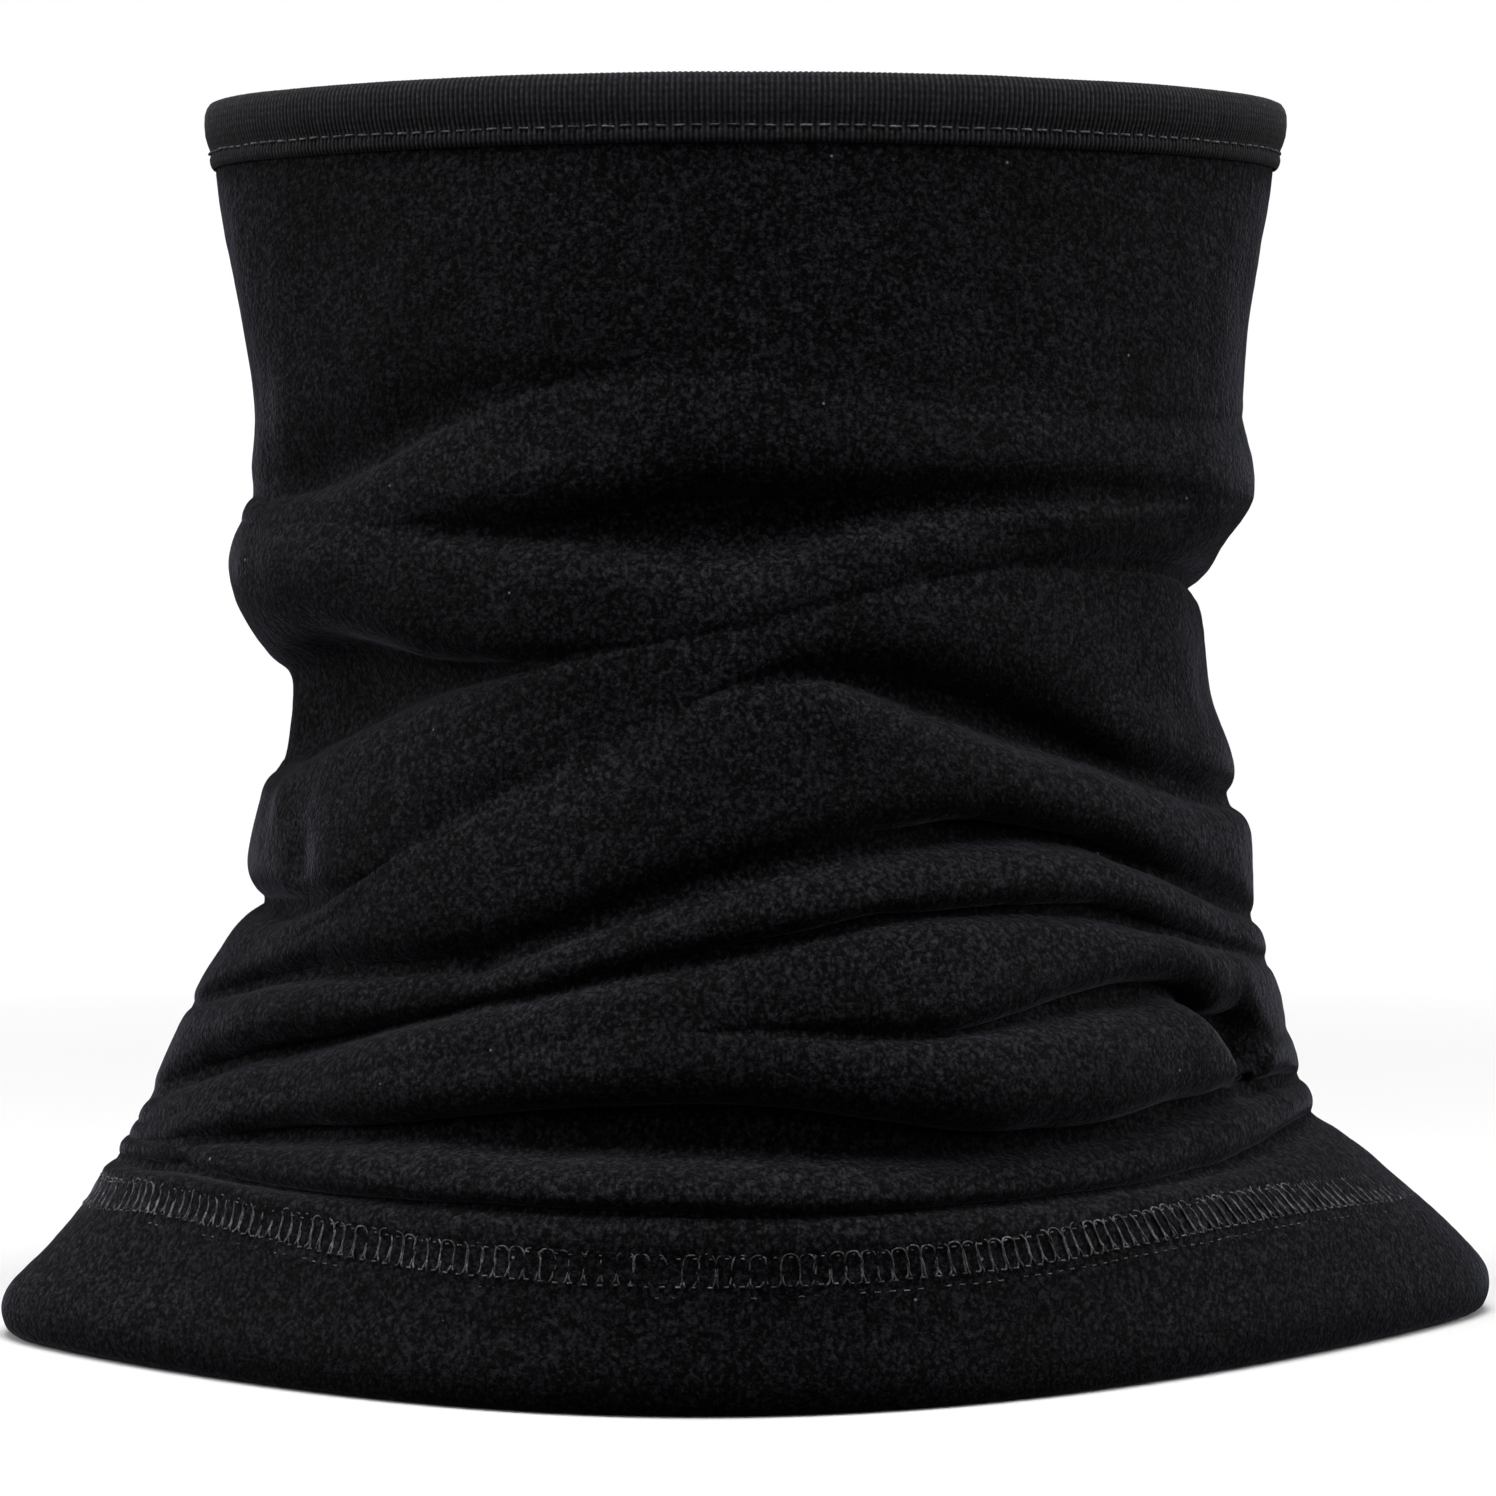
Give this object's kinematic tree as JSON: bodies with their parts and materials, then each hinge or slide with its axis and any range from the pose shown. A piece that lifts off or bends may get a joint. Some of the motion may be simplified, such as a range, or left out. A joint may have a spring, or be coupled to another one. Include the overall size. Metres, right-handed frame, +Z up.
{
  "type": "neck gaiter",
  "caption": "Pull-on fleece neck gaiter: flared cloth tube slumped into soft horizontal folds, bound upper rim, wide cover-stitched hem.",
  "frame": {"origin": "on the floor plane under the centre of the bounding box, where the hem stands", "axes": "+Z up from the hem to the rim, -Y out of the front of the gaiter, +X towards the viewer's right when looking at the front"},
  "size_m": [0.2482, 0.2254, 0.2025],
  "materials": {
    "fleece": "brushed micro-fleece pile, matt",
    "rib_knit": "fine rib knit, matt",
    "thread": "spun polyester sewing thread, slight lustre"
  },
  "bodies": {
    "hem": {"fleece_tube": "fleece", "hem_needle_thread_upper": "thread", "hem_needle_thread_middle": "thread", "hem_needle_thread_lower": "thread", "hem_cover_thread": "thread", "hem_looper_thread": "thread", "back_seam_thread": "thread"},
    "rim": {"rim_binding": "rib_knit", "binding_needle_thread": "thread", "binding_bobbin_thread": "thread"}
  },
  "joints": [
    {"name": "rim_slide", "type": "slide", "parent": "hem", "child": "rim", "axis": [0, 0, 1], "range_m": [-0.055, 0.045], "stiffness_N_per_m": 60, "deforming": ["fleece_tube", "back_seam_thread"]}
  ]
}
